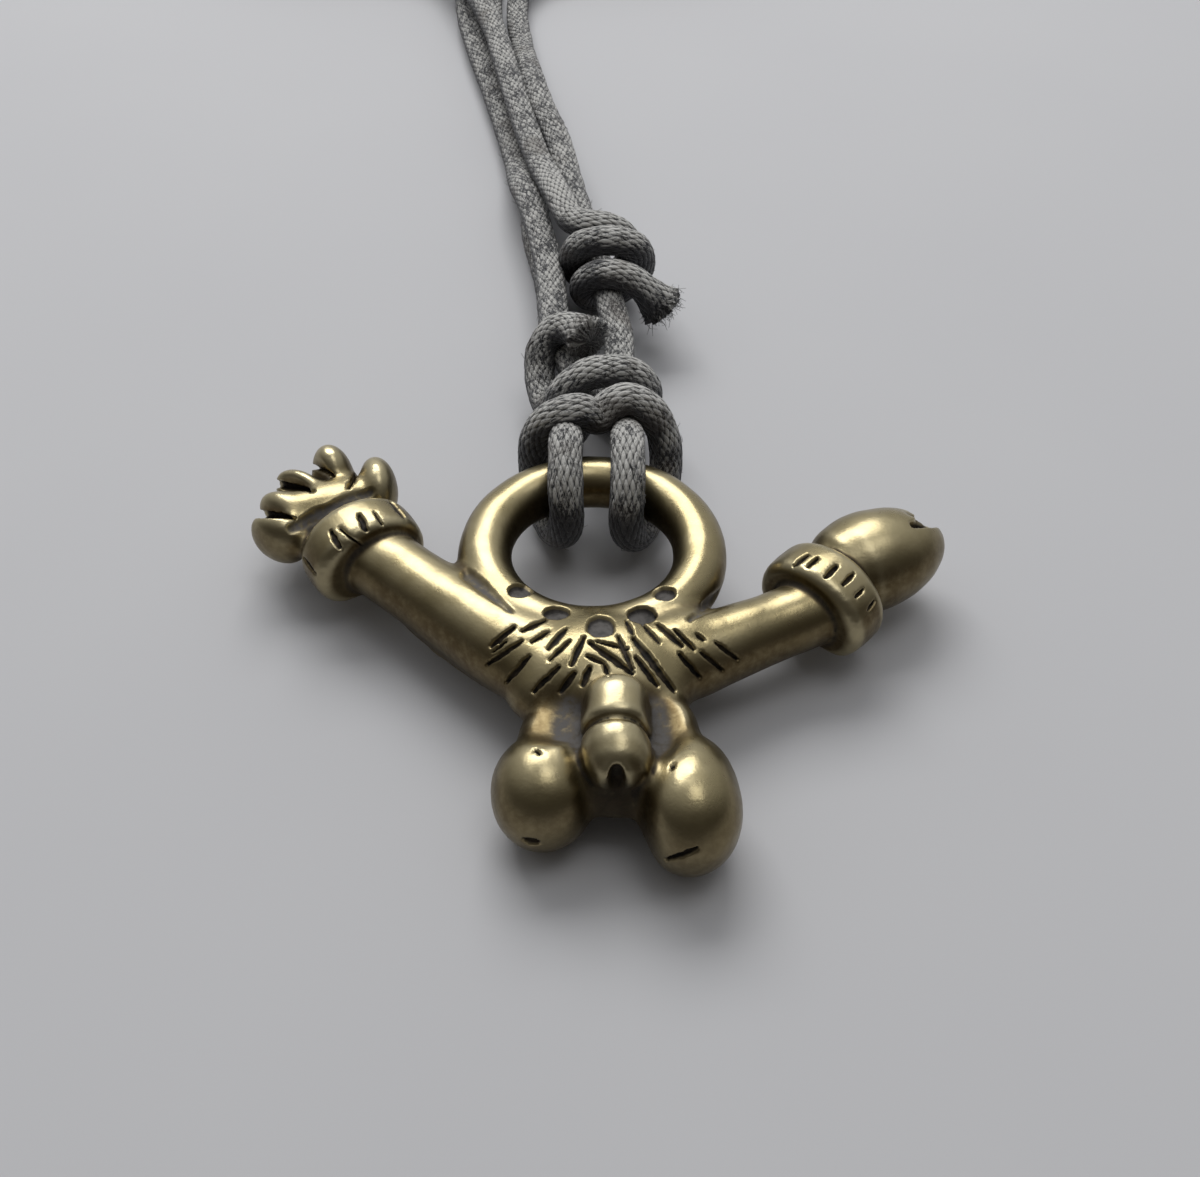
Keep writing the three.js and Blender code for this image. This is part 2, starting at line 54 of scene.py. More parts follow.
def linked(name, data):
    """A new object of the scene, at the origin."""
    made = bpy.data.objects.new(name, data)
    bpy.context.scene.collection.objects.link(made)
    return made


# Camera


def photo_camera():
    data = bpy.data.cameras.new("viewing_camera")
    data.lens = 42
    data.sensor_width = 36
    data.sensor_fit = "HORIZONTAL"
    data.clip_start = 0.001
    data.clip_end = 20
    camera = linked("viewing_camera", data)
    camera.location = (0.000223, -0.049967, 0.05912)
    camera.rotation_euler = (math.radians(43.5), 0, 0)
    bpy.context.scene.camera = camera


# Cord sizes and heights, in mm. Plan places are measured from the middle of the ring's bar.

BAR_MIDDLE = Vector((-0.194, 10.963, 0))
RING_RADIUS = 5.98
RING_HEIGHT = 4.01
BAR_REACH = 2.64
CORD = 2.0
# Heights of a cord on the floor and of one that lies on another, and the reach of a wrap round a cord
LOW = 1.05
RAISED = 3.5
WRAP = 2.15
COIL_RADIUS = 13.3
COIL_TURNS = 3.75
COIL_STEPS = 106
COIL_NEAR = 80.2
COIL_Y = COIL_NEAR + COIL_RADIUS
LEFT_RIM_X = -12.4
RIGHT_RIM_X = -9.8
LEFT_COIL_X = LEFT_RIM_X - COIL_RADIUS
RIGHT_COIL_X = RIGHT_RIM_X + COIL_RADIUS
COIL_LOW = 1.85
COIL_HIGH = 4.3
PITCH = 2.45
# How far from the bar the cord can be seen
SEEN_TO = 72.0
KNOT_MIDDLE = Vector((0.85, 23.2, RAISED))
SLIDE_ALONG = Vector((-0.2, 1, 0)).normalized()
SLIDE_ASIDE = Vector((SLIDE_ALONG.y, -SLIDE_ALONG.x, 0))


def in_row(point):
    return (Vector(point) + BAR_MIDDLE) * MM


def by_knot(along, aside, above):
    return KNOT_MIDDLE + SLIDE_ALONG * along + SLIDE_ASIDE * aside + Vector((0, 0, above))


def round_knot(along, angle, away=WRAP):
    turn = math.radians(angle)
    return by_knot(along, away * math.cos(turn), away * math.sin(turn))


def round_bar(x, angle):
    """Place on the cord as it lies round the bar: 0 is outside the ring, 90 on top, 180 in the hole."""
    turn = math.radians(angle)
    reach = RING_RADIUS + BAR_REACH * math.cos(turn)
    return Vector((x, math.sqrt(reach**2 - x**2) - RING_RADIUS, RING_HEIGHT + BAR_REACH * math.sin(turn)))


def hitch_leg(foot, top, under):
    """One leg of the hitch: from under the band, over the bar, through the hole and back under the bar."""
    return [
        (foot, 6.6, 3.7), (foot, 5.2, 4.1), (foot * 0.5 + top * 0.5, 3.6, 4.85), (top, 2.3, 5.65),
        round_bar(top, 62), round_bar(top, 90), round_bar(top, 120), round_bar(top * 0.98, 150),
        round_bar(top * 0.95, 180), round_bar(top * 0.85 + under * 0.12, 210),
        round_bar(top * 0.45 + under * 0.5, 240), round_bar(under * 0.95, 270),
    ]


# Across places of the hitch's two legs: at the foot, on top of the bar and under it
LEFT_LEG = (-1.0, -1.55, -2.75)
RIGHT_LEG = (1.7, 2.0, 3.2)

# The band of the hitch, which lies over its legs and dips between them
LEFT_LOBE = [
    (-3.3, 1.3, 1.75), (-3.5, 2.45, 3.2), (-3.25, 2.65, 5.3), (-2.45, 2.5, 6.65), (-1.55, 2.5, 7.15),
    (-0.65, 2.75, 7.05),
]
HITCH_DIP = (0.3, 2.95, 6.4)
RIGHT_LOBE = [
    (1.0, 3.4, 6.85), (1.95, 3.65, 7.2), (3.15, 3.7, 6.5), (4.1, 3.5, 4.95), (4.4, 2.85, 3.1),
    (4.1, 1.6, 1.6),
]


def coil_points(centre_x, hand):
    whole = 2 * math.pi * COIL_TURNS
    points = []
    for step in range(1, COIL_STEPS):
        turn = whole * step / COIL_STEPS
        radius = COIL_RADIUS - PITCH * min(turn, whole - turn) / (2 * math.pi)
        climb = min(max((turn - whole / 2 + math.pi / 2) / math.pi, 0), 1)
        climb = climb * climb * (3 - 2 * climb)
        x = centre_x + hand * radius * math.cos(turn)
        points.append((x, COIL_Y + radius * math.sin(turn), COIL_LOW + PITCH * climb))
    return points


UNDER_LOWER_KNOT = (-1.5, 12, RAISED)

LEFT_STRAND = [
    UNDER_LOWER_KNOT, (-2.15, 14, RAISED - 0.1), (-2.55, 16, RAISED - 0.3), (-2.75, 18.4, 3.1),
    (-2.9, 20.6, 3.05), (-3.15, 23.2, 3.05), (-3.55, 26, 3.05), (-4.15, 29, 3.1), (-4.8, 32, 3.1),
    (-5.35, 34.2, 2.8), (-5.7, 36.4, 2.2), (-6.1, 40, LOW + 0.3), (-7.2, 46, LOW), (-8.95, 54, LOW),
    (-10.6, 61, LOW), (-12.1, 69, LOW),
    (-12.5, 78, LOW), (LEFT_RIM_X, COIL_Y - 6.3, COIL_LOW), (LEFT_RIM_X, COIL_Y - 2.3, COIL_LOW),
    (LEFT_RIM_X, COIL_Y, COIL_LOW),
]

LEFT_LEG_TOP = [UNDER_LOWER_KNOT, (-0.95, 10, RAISED), (-0.85, 8, RAISED + 0.05)]

RIGHT_STRAND = [
    (1.65, 8, RAISED + 0.05), (1.65, 11, RAISED), (1.65, 14.2, RAISED), (1.3, 17.2, RAISED),
    (0.85, 20, RAISED), (0.4, 22.6, RAISED), (-0.5, 27, RAISED), (-1.25, 30.7, RAISED),
    (-1.95, 34.6, RAISED), (-2.85, 40.2, RAISED), (-4.3, 46, RAISED), (-5.25, 51, RAISED - 0.2),
    (-5.95, 56, 2.3), (-6.6, 61.5, LOW + 0.2), (-7.35, 69, LOW), (-6.9, 73.5, LOW + 0.9),
    (RIGHT_COIL_X - 8.5, COIL_NEAR - 2.4, LOW + 2.3),
    (RIGHT_COIL_X - 5.3, COIL_NEAR - 0.3, COIL_HIGH), (RIGHT_COIL_X - 2.3, COIL_NEAR, COIL_HIGH),
    (RIGHT_COIL_X, COIL_NEAR, COIL_HIGH),
]

LEFT_FEED = [
    (LEFT_COIL_X, COIL_NEAR, COIL_HIGH), (LEFT_COIL_X + 2.3, COIL_NEAR, COIL_HIGH),
    (LEFT_COIL_X + 6.3, COIL_NEAR - 0.3, COIL_HIGH), (LEFT_COIL_X + 10.3, COIL_NEAR - 2.6, RAISED + 0.4),
    (-13.2, 73.5, RAISED + 0.1), (-11.6, 69, RAISED), (-9.2, 61, RAISED), (-7.75, 54, RAISED),
    (-6.2, 46, RAISED), (-5.3, 41.6, RAISED), (-4.35, 37.2, RAISED + 0.3), (-3.4, 33, RAISED + 0.9),
    (-2.65, 30, RAISED + 1.4),
]

UPPER_KNOT = [
    round_knot(3.9, 140, WRAP + 0.1), round_knot(3.0, 126, 2.0), round_knot(2.3, 104, 1.9),
    round_knot(1.9, 75, 1.85), round_knot(1.7, 40, 1.9), round_knot(1.55, 0, 2.05), round_knot(1.45, -45),
    round_knot(1.35, -90), round_knot(1.2, -135), round_knot(0.8, -180, WRAP + 0.1),
    round_knot(-0.1, -222, WRAP + 0.4), round_knot(-1.3, -265, WRAP + 0.65),
    round_knot(-1.25, -310, WRAP + 0.5), round_knot(-0.7, -355, WRAP + 0.2), round_knot(-0.4, -400),
    round_knot(-0.5, -445), round_knot(-1.2, -490), round_knot(-2.0, -525, 2.05), round_knot(-2.5, -552, 2.0),
    round_knot(-3.05, -582, 1.85), round_knot(-3.65, -613, 1.75), by_knot(-4.1, 0.35, 1.7),
    by_knot(-4.45, 1.1, 1.4), by_knot(-4.8, 1.8, 0.8), by_knot(-5.0, 2.45, 0.05), by_knot(-5.2, 3.05, -0.7),
]

RIGHT_FEED = [
    (RIGHT_RIM_X, COIL_Y, COIL_LOW), (RIGHT_RIM_X, COIL_Y - 2.3, COIL_LOW),
    (RIGHT_RIM_X, COIL_Y - 6.3, COIL_LOW), (RIGHT_RIM_X, 78, LOW), (-9.8, 69, LOW), (-8.6, 61, LOW),
    (-7.4, 56, LOW), (-5.8, 51, LOW), (-4.4, 46, LOW), (-3.6, 41, LOW), (-4.0, 37, LOW), (-4.6, 33.4, LOW),
    (-4.35, 30, LOW), (-3.75, 27, LOW), (-3.2, 23.6, LOW),
]

LOWER_KNOT = [
    (-2.95, 20.6, LOW), (-2.7, 18, LOW), (-1.8, 15, LOW), (-0.3, 12.2, LOW), (1.4, 10, LOW + 0.05),
    (2.5, 8.9, LOW + 0.6), (3.2, 8.4, LOW + 1.8), (3.3, 8.25, RAISED + 0.6), (2.8, 8.2, RAISED + 1.65),
    (1.95, 8.2, RAISED + 2.2), (0.9, 8.2, RAISED + 2.25), (-0.2, 8.2, RAISED + 2.05),
    (-1.1, 8.1, RAISED + 1.5), (-1.8, 8.1, RAISED + 0.65), (-2.3, 8.3, RAISED - 0.4),
    (-2.8, 9.0, LOW + 1.25), (-3.25, 10.3, LOW + 1.25), (-3.5, 11.7, RAISED - 0.6),
    (-3.35, 12.7, RAISED + 0.5), (-2.6, 13.1, RAISED + 1.6), (-1.7, 12.75, RAISED + 2.2),
    (-0.85, 12.0, RAISED + 2.4), (-0.1, 11.0, RAISED + 2.45),
]


# How many times coarser a cord is out of sight
COARSER = 4


def smooth_line(points, step):
    """Even points on one smooth curve through the given ones: fine where seen, coarse in the coils."""
    knots = [Vector(point) for point in points]
    padded = [knots[0] * 2 - knots[1]] + knots + [knots[-1] * 2 - knots[-2]]
    line = []
    for before, start, stop, after in zip(padded, padded[1:], padded[2:], padded[3:]):
        lead = (start - before).length ** 0.5
        span = (stop - start).length ** 0.5
        trail = (after - stop).length ** 0.5
        leave = (start - before) / lead - (stop - before) / (lead + span) + (stop - start) / span
        arrive = (stop - start) / span - (after - start) / (span + trail) + (after - stop) / trail
        leave *= span
        arrive *= span
        fine = step if min(start.y, stop.y) < SEEN_TO else step * COARSER
        count = max(1, round((stop - start).length / fine))
        for index in range(count):
            t = index / count
            bend = (start - stop) * 2 + leave + arrive
            sway = (stop - start) * 3 - leave * 2 - arrive
            line.append(start + leave * t + sway * t**2 + bend * t**3)
    line.append(knots[-1])
    return line


# Braided cord

BRAID_LENGTH = 0.9
BRAID_COUNT = 16
BRAID_RELIEF = 0.055
BRAID_MEAN = 0.75
UNEVENNESS = 0.05
UNEVEN_SCALE = 0.9
CORD_SIDES = 60
CORD_STEP = 0.14
# A cut end: the lengths over which it flares, is ragged and closes, and how ragged it is
FLARE_LENGTH = 2.4
RAGGED_LENGTH = 1.3
DOME_LENGTH = 0.4
RAGGEDNESS = 0.28


def braid_height(along, around):
    """Height of the braid's strands, 0 in the gaps to 1 on the crowns."""
    first = along / BRAID_LENGTH + around * BRAID_COUNT
    second = along / BRAID_LENGTH - around * BRAID_COUNT
    row = np.round(first)
    column = np.round(second)
    over = np.cos(np.pi * (row + column)) > 0
    across = np.where(over, first - row, second - column)
    lengthwise = np.where(over, second - column, first - row)
    return np.sqrt(1 - 3.4 * across**2) * (1 - 1.6 * lengthwise**2)


def tube_mesh(name, line, sides, thickness, swell):
    curve = bpy.data.curves.new(name, "CURVE")
    curve.dimensions = "3D"
    curve.bevel_depth = thickness / 2
    curve.bevel_resolution = (sides - 4) // 2
    spline = curve.splines.new("POLY")
    spline.points.add(len(line) - 1)
    for index, point in enumerate(line):
        spline.points[index].co = (*point, 1)
        spline.points[index].radius = swell[index]
    return meshed(name, curve)


def meshed(name, curve):
    """The curve's tubes as a mesh; the curve itself goes."""
    maker = linked(name, curve)
    mesh = bpy.data.meshes.new_from_object(maker)
    bpy.data.objects.remove(maker)
    bpy.data.curves.remove(curve)
    mesh.name = name
    for layer in list(mesh.uv_layers):
        mesh.uv_layers.remove(layer)
    return mesh


def lengths_along(places):
    return np.concatenate([[0], np.cumsum(np.linalg.norm(np.diff(places, axis=0), axis=1))])


def frayed_swell(left, flare):
    """How a cut end spreads out over its last stretch and then closes in a blunt dome."""
    swell = 1 + flare * np.clip(1 - left / FLARE_LENGTH, 0, 1) ** 1.4
    return swell * np.sqrt(np.clip(1 - (1 - np.clip(left / DOME_LENGTH, 0, 1)) ** 2, 0.03, 1))


def braided_cord(name, points, start_at=0.0, flare=0.0, seed=1):
    """A braided tube along the points, with its map, relief and loose fibres. A cut end flares and frays."""
    line = smooth_line(points, CORD_STEP)
    places = np.array([point[:] for point in line])
    along = lengths_along(places)
    left = along[-1] - along
    swell = frayed_swell(left, flare) if flare else np.ones(len(line))
    mesh = tube_mesh(name, line, CORD_SIDES, CORD, swell)
    count = len(mesh.vertices)
    ring = np.arange(count) // CORD_SIDES
    around = (np.arange(count) % CORD_SIDES) / CORD_SIDES
    outward = values_of(mesh.vertices, "co", 3) - places[ring]
    height = braid_height(along[ring] + start_at, around)
    chance = np.random.default_rng(seed)
    uneven = waves(places, UNEVEN_SCALE)[ring]
    scale = 1 + (height - BRAID_MEAN) * BRAID_RELIEF + uneven * UNEVENNESS
    if flare:
        ragged = chance.uniform(-RAGGEDNESS, RAGGEDNESS, count)
        scale += ragged * np.clip(1 - left[ring] / RAGGED_LENGTH, 0, 1)
    moved = places[ring] + outward * scale[:, None]
    mesh.vertices.foreach_set("co", moved.ravel())
    lay_braid_map(mesh, along + start_at, CORD_SIDES)
    close_ends(mesh)
    strands = loose_fibres(places, chance)
    if flare:
        strands += frayed_fibres(places, flare, chance)
    add_fibres(mesh, strands)
    paint_top_light(mesh)
    put_in_row(mesh)
    return linked(name, mesh), [in_row(point) for point in line], along[-1] * MM


def put_in_row(mesh):
    """From mm off the middle of the ring's bar to metres in the shared frame."""
    mesh.transform(Matrix.Translation(BAR_MIDDLE))
    mesh.transform(Matrix.Scale(MM, 4))


def shade_smooth(mesh):
    mesh.polygons.foreach_set("use_smooth", [True] * len(mesh.polygons))


def lay_braid_map(mesh, along, sides):
    corners = np.empty(len(mesh.loops), int)
    mesh.loops.foreach_get("vertex_index", corners)
    ring = corners // sides
    side = (corners % sides).reshape(-1, 4)
    wraps = (side.max(1) - side.min(1)) > sides / 2
    side = np.where(wraps[:, None] & (side == 0), sides, side).ravel()
    across = side / sides * BRAID_COUNT
    layer = mesh.uv_layers.new(name="braid")
    places = np.stack([along[ring] / BRAID_LENGTH, across], 1)
    layer.uv.foreach_set("vector", places.astype(np.float32).ravel())


def close_ends(mesh):
    work = bmesh.new()
    work.from_mesh(mesh)
    bmesh.ops.holes_fill(work, edges=[edge for edge in work.edges if edge.is_boundary])
    bmesh.ops.recalc_face_normals(work, faces=work.faces)
    work.to_mesh(mesh)
    work.free()


# Loose fibres: how many, how far from the bar, how many at a cut end, how long, how thick, how far out
# they are rooted as a share of the cord, and how low they may reach
FIBRES_PER_MM = 5.0
FIBRES_TO = 45.0
FRAYED_FIBRES = 420
FIBRE_LENGTHS = (0.15, 0.5)
FRAYED_LENGTHS = (0.25, 0.65)
FIBRE_RADIUS = 0.022
FIBRE_ROOT = 0.47
FIBRE_FLOOR = 0.06


def random_way(chance):
    way = Vector(chance.normal(size=3))
    return way.normalized()


def loose_fibres(places, chance):
    """Short stray fibres that lift off the cord where it is seen close: each a root, a middle and a tip."""
    strands = []
    near = np.flatnonzero(places[:-1, 1] < FIBRES_TO)
    for _ in range(int(len(near) * CORD_STEP * FIBRES_PER_MM)):
        index = int(chance.choice(near))
        ahead = Vector(places[index + 1] - places[index]).normalized()
        side = random_way(chance).cross(ahead).normalized()
        root = Vector(places[index]) + side * (CORD * FIBRE_ROOT)
        lean = ahead * chance.uniform(-1, 1) + side.cross(ahead) * chance.uniform(-0.8, 0.8)
        length = chance.uniform(*FIBRE_LENGTHS)
        middle = root + (side * 0.45 + lean * 0.7) * length * 0.6
        tip = middle + (lean * 0.8 + side * chance.uniform(-0.5, 0.5)) * length
        strands.append((root, middle, tip))
    return strands


def frayed_fibres(places, flare, chance):
    """The tuft of cut yarns at a cord's end."""
    end = Vector(places[-1])
    ahead = (end - Vector(places[-6])).normalized()
    strands = []
    for _ in range(FRAYED_FIBRES):
        side = random_way(chance).cross(ahead).normalized()
        root = end - ahead * chance.uniform(0.1, 1.0) + side * chance.uniform(0.2, 0.95 + flare)
        way = ahead * chance.uniform(0.1, 1.0) + side * chance.uniform(0.0, 0.8) + random_way(chance) * 0.5
        way.normalize()
        length = chance.uniform(*FRAYED_LENGTHS)
        middle = root + way * length * 0.6
        tip = middle + (way * 0.5 + random_way(chance)) * length * 0.6
        strands.append((root, middle, tip))
    return strands


def add_fibres(mesh, strands):
    curve = bpy.data.curves.new("fibres", "CURVE")
    curve.dimensions = "3D"
    curve.bevel_depth = FIBRE_RADIUS
    curve.bevel_resolution = 0
    for strand in strands:
        spline = curve.splines.new("POLY")
        spline.points.add(len(strand) - 1)
        for index, point in enumerate(strand):
            spline.points[index].co = (point.x, point.y, max(point.z, FIBRE_FLOOR), 1)
            spline.points[index].radius = 1.2 - 0.35 * index
    fibres = meshed("fibres", curve)
    fibres.uv_layers.new(name="braid")
    work = bmesh.new()
    work.from_mesh(mesh)
    work.from_mesh(fibres)
    work.to_mesh(mesh)
    work.free()
    bpy.data.meshes.remove(fibres)
    shade_smooth(mesh)


# Turn of the upper knot painted in shadow under its neighbour, where that painted shadow fades, and the
# heights between which the painted top light grows
SHADED_TURN = by_knot(-3.0, -0.7, 1.2)
SHADE_REACH = (1.2, 2.2)
PAINTED_LIGHT_HEIGHTS = (4.2, 5.8)


def paint_top_light(mesh):
    """Painted light: the cord is paler on its upper side and more so high up, with painted shade underneath
    and on the turn under its neighbour.
    """
    mesh.update()
    upward = values_of(mesh.vertex_normals, "vector", 3)[:, 2]
    places = values_of(mesh.vertices, "co", 3)
    high = 1 - step_down(places[:, 2], *PAINTED_LIGHT_HEIGHTS)
    # Painted top light that grows with height, then painted shadow on the turn under its neighbour
    worn = (1 - step_down(upward, 0.0, 0.75)) * (1 + 0.8 * high)
    off = np.linalg.norm(places - np.array(SHADED_TURN), axis=1)
    worn *= 1 - 0.85 * step_down(off, *SHADE_REACH)
    add_values(mesh, "painted_top_light", worn)


# Twine of the lashings, with the reach of its bends and where its straight runs begin
TWINE = 0.5
TWINE_SIDES = 12
TWINE_TURNS = 4
TWINE_OFF = CORD / 2 + 0.55
LASHING_WIDTH = 1.86
BEND = 1
FLAT = 2.2


def lashing_line(centre_x):
    """Turns of thin twine round one coil, side by side."""
    near = COIL_Y + COIL_RADIUS - COIL_TURNS * PITCH / 2 - TWINE_OFF
    far = COIL_Y + COIL_RADIUS + TWINE_OFF
    low = COIL_LOW - TWINE_OFF
    high = COIL_HIGH + TWINE_OFF
    turn = [
        (near + BEND, low), (near + FLAT, low), (far - FLAT, low), (far - BEND, low),
        (far, low + BEND), (far, high - BEND),
        (far - BEND, high), (far - FLAT, high), (near + FLAT, high), (near + BEND, high),
        (near, high - BEND), (near, low + BEND),
    ]
    places = turn * TWINE_TURNS
    line = []
    for index, (y, z) in enumerate(places):
        line.append((centre_x + LASHING_WIDTH * (index / (len(places) - 1) - 0.5), y, z))
    return line


def coil_lashing(name, centre_x, node, material):
    line = smooth_line(lashing_line(centre_x), CORD_STEP)
    places = np.array([point[:] for point in line])
    mesh = tube_mesh(name, line, TWINE_SIDES, TWINE, np.ones(len(line)))
    lay_braid_map(mesh, lengths_along(places) * 3, TWINE_SIDES)
    close_ends(mesh)
    paint_top_light(mesh)
    shade_smooth(mesh)
    put_in_row(mesh)
    mesh.materials.append(material)
    lashing = linked(name, mesh)
    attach(lashing, "cord")
    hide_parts(node)
    return lashing


# Numbers on a mesh


def values_of(collection, name, width):
    values = np.empty(len(collection) * width)
    collection.foreach_get(name, values)
    return values.reshape(-1, width)


def add_values(mesh, name, values):
    layer = mesh.attributes.new(name, "FLOAT", "POINT")
    layer.data.foreach_set("value", values.astype(np.float32))


def step_down(value, low, high):
    """1 below low, 0 above high."""
    share = np.clip((high - value) / (high - low), 0, 1)
    return share * share * (3 - 2 * share)


def waves(places, scale):
    """Smooth chance numbers, about -1 to 1."""
    return np.array([noise.noise(Vector(place) * scale) for place in places])


# Nodes of the materials


def new_material(name):
    material = bpy.data.materials.new(name)
    material.use_nodes = True
    tree = material.node_tree
    shader = tree.nodes["Principled BSDF"]
    return material, tree, shader


def wire(tree, value, socket):
    if isinstance(value, bpy.types.NodeSocket):
        tree.links.new(value, socket)
    elif value is not None:
        socket.default_value = value


def maths(tree, operation, first, second=None, third=None):
    """One step of arithmetic on sockets or numbers."""
    node = tree.nodes.new("ShaderNodeMath")
    node.operation = operation
    for value, socket in zip((first, second, third), node.inputs):
        wire(tree, value, socket)
    return node.outputs[0]


def blended(tree, share, first, second):
    node = tree.nodes.new("ShaderNodeMix")
    node.data_type = "RGBA"
    wire(tree, share, node.inputs["Factor"])
    for value, socket in ((first, node.inputs[6]), (second, node.inputs[7])):
        wire(tree, value if isinstance(value, bpy.types.NodeSocket) else (*value, 1), socket)
    return node.outputs[2]


def ramped(tree, value, low, high, to_low=0.0, to_high=1.0):
    node = tree.nodes.new("ShaderNodeMapRange")
    node.interpolation_type = "SMOOTHSTEP"
    for entry, number in zip(node.inputs, (value, low, high, to_low, to_high)):
        wire(tree, number, entry)
    return node.outputs[0]


def object_place(tree):
    return tree.nodes.new("ShaderNodeTexCoord").outputs["Object"]


def cloudy(tree, place, scale, detail=3.0, roughness=0.5):
    node = tree.nodes.new("ShaderNodeTexNoise")
    node.inputs["Scale"].default_value = scale
    node.inputs["Detail"].default_value = detail
    node.inputs["Roughness"].default_value = roughness
    wire(tree, place, node.inputs["Vector"])
    return node.outputs["Fac"]


def point_value(tree, name):
    node = tree.nodes.new("ShaderNodeAttribute")
    node.attribute_name = name
    return node.outputs["Fac"]


def relief(tree, height, distance, strength, under=None):
    node = tree.nodes.new("ShaderNodeBump")
    node.inputs["Distance"].default_value = distance
    node.inputs["Strength"].default_value = strength
    wire(tree, height, node.inputs["Height"])
    wire(tree, under, node.inputs["Normal"])
    return node.outputs["Normal"]


def braid_cells(tree):
    """Where a point lies on its strand of the braid: across it, along it, and the strand's chance number."""
    map_node = tree.nodes.new("ShaderNodeUVMap")
    map_node.uv_map = "braid"
    parts = tree.nodes.new("ShaderNodeSeparateXYZ")
    tree.links.new(map_node.outputs["UV"], parts.inputs[0])
    first = maths(tree, "ADD", parts.outputs[0], parts.outputs[1])
    second = maths(tree, "SUBTRACT", parts.outputs[0], parts.outputs[1])
    row = maths(tree, "ROUND", first)
    column = maths(tree, "ROUND", second)
    over = maths(tree, "PINGPONG", maths(tree, "ADD", row, column), 1.0)
    along_first = maths(tree, "SUBTRACT", first, row)
    along_second = maths(tree, "SUBTRACT", second, column)
    swap = maths(tree, "SUBTRACT", along_second, along_first)
    across = maths(tree, "MULTIPLY_ADD", swap, over, along_first)
    lengthwise = maths(tree, "SUBTRACT", maths(tree, "ADD", along_first, along_second), across)
    cell = tree.nodes.new("ShaderNodeTexWhiteNoise")
    cell.noise_dimensions = "2D"
    pair = tree.nodes.new("ShaderNodeCombineXYZ")
    tree.links.new(row, pair.inputs[0])
    tree.links.new(column, pair.inputs[1])
    tree.links.new(pair.outputs[0], cell.inputs["Vector"])
    return across, lengthwise, cell.outputs["Value"]


def yarn_flecks(tree, across, lengthwise, chance):
    """Fine fibres that run along each strand, different on every strand."""
    place = tree.nodes.new("ShaderNodeCombineXYZ")
    wire(tree, maths(tree, "MULTIPLY", across, 3.4), place.inputs[0])
    wire(tree, maths(tree, "MULTIPLY", lengthwise, 1.1), place.inputs[1])
    wire(tree, maths(tree, "MULTIPLY", chance, 37.0), place.inputs[2])
    return cloudy(tree, place.outputs[0], 1.6, 3.0, 0.65)


# Colours of the cord: its wax, its pale flecks shown where painted top light falls, its gaps in painted shade
# and its brown stains
WAX_DARK = (0.014, 0.0145, 0.018)
WAX_GREY = (0.034, 0.035, 0.041)
PALE_FLECK_LIT = (0.62, 0.61, 0.575)
GAP_SHADE_BLACK = (0.008, 0.008, 0.01)
STAIN_BROWN = (0.075, 0.055, 0.036)


def waxed_braid():
    """Dark waxed cotton: pale flecks on the strands' crowns under painted top light, and painted black shade
    in the gaps and on the underside.
    """
    material, tree, shader = new_material("waxed_braid")
    place = object_place(tree)
    across, lengthwise, chance = braid_cells(tree)
    side = maths(tree, "MULTIPLY", across, across)
    end = maths(tree, "MULTIPLY", lengthwise, lengthwise)
    crown = maths(tree, "MULTIPLY_ADD", side, -3.0, 1.0)
    crown = maths(tree, "SUBTRACT", crown, maths(tree, "MULTIPLY", end, 1.5))
    flecks = yarn_flecks(tree, across, lengthwise, chance)
    fuzz = cloudy(tree, place, 5200.0, 4.0, 0.65)
    worn = cloudy(tree, place, 800.0, 3.0, 0.6)
    pale = maths(tree, "MULTIPLY_ADD", flecks, 1.1, maths(tree, "MULTIPLY", fuzz, 0.75))
    pale = maths(tree, "MULTIPLY_ADD", worn, 0.5, pale)
    pale = maths(tree, "MULTIPLY_ADD", chance, 0.22, pale)
    # Painted top light: pale flecks grow on high places and fade to almost none underneath
    lit_top = point_value(tree, "painted_top_light")
    pale = maths(tree, "MULTIPLY_ADD", ramped(tree, lit_top, 1.0, 1.8), 0.09, pale)
    pale = maths(tree, "MULTIPLY", ramped(tree, pale, 1.12, 1.4), ramped(tree, crown, 0.05, 0.6, 0.12, 1.0))
    pale = maths(tree, "MULTIPLY", pale, ramped(tree, lit_top, 0.0, 1.0, 0.06, 1.0))
    strand = blended(tree, ramped(tree, worn, 0.35, 0.65), WAX_DARK, WAX_GREY)
    strand = blended(tree, pale, strand, PALE_FLECK_LIT)
    # Painted shade: the gaps between the strands are darkened to near black
    colour = blended(tree, ramped(tree, crown, 0.0, 0.5, 0.25, 1.0), GAP_SHADE_BLACK, strand)
    brown = ramped(tree, cloudy(tree, place, 330.0, 2.0), 0.55, 0.72, 0.0, 0.4)
    colour = blended(tree, brown, colour, STAIN_BROWN)
    tree.links.new(colour, shader.inputs["Base Color"])
    tree.links.new(ramped(tree, worn, 0.3, 0.7, 0.42, 0.7), shader.inputs["Roughness"])
    shader.inputs["Sheen Weight"].default_value = 0.2
    shader.inputs["Sheen Roughness"].default_value = 0.4
    shader.inputs["Specular IOR Level"].default_value = 0.5
    rough = maths(tree, "MULTIPLY_ADD", fuzz, 0.6, maths(tree, "MULTIPLY", flecks, 0.7))
    height = maths(tree, "ADD", ramped(tree, crown, 0.0, 1.0), rough)
    tree.links.new(relief(tree, height, 0.00012, 0.85), shader.inputs["Normal"])
    return material


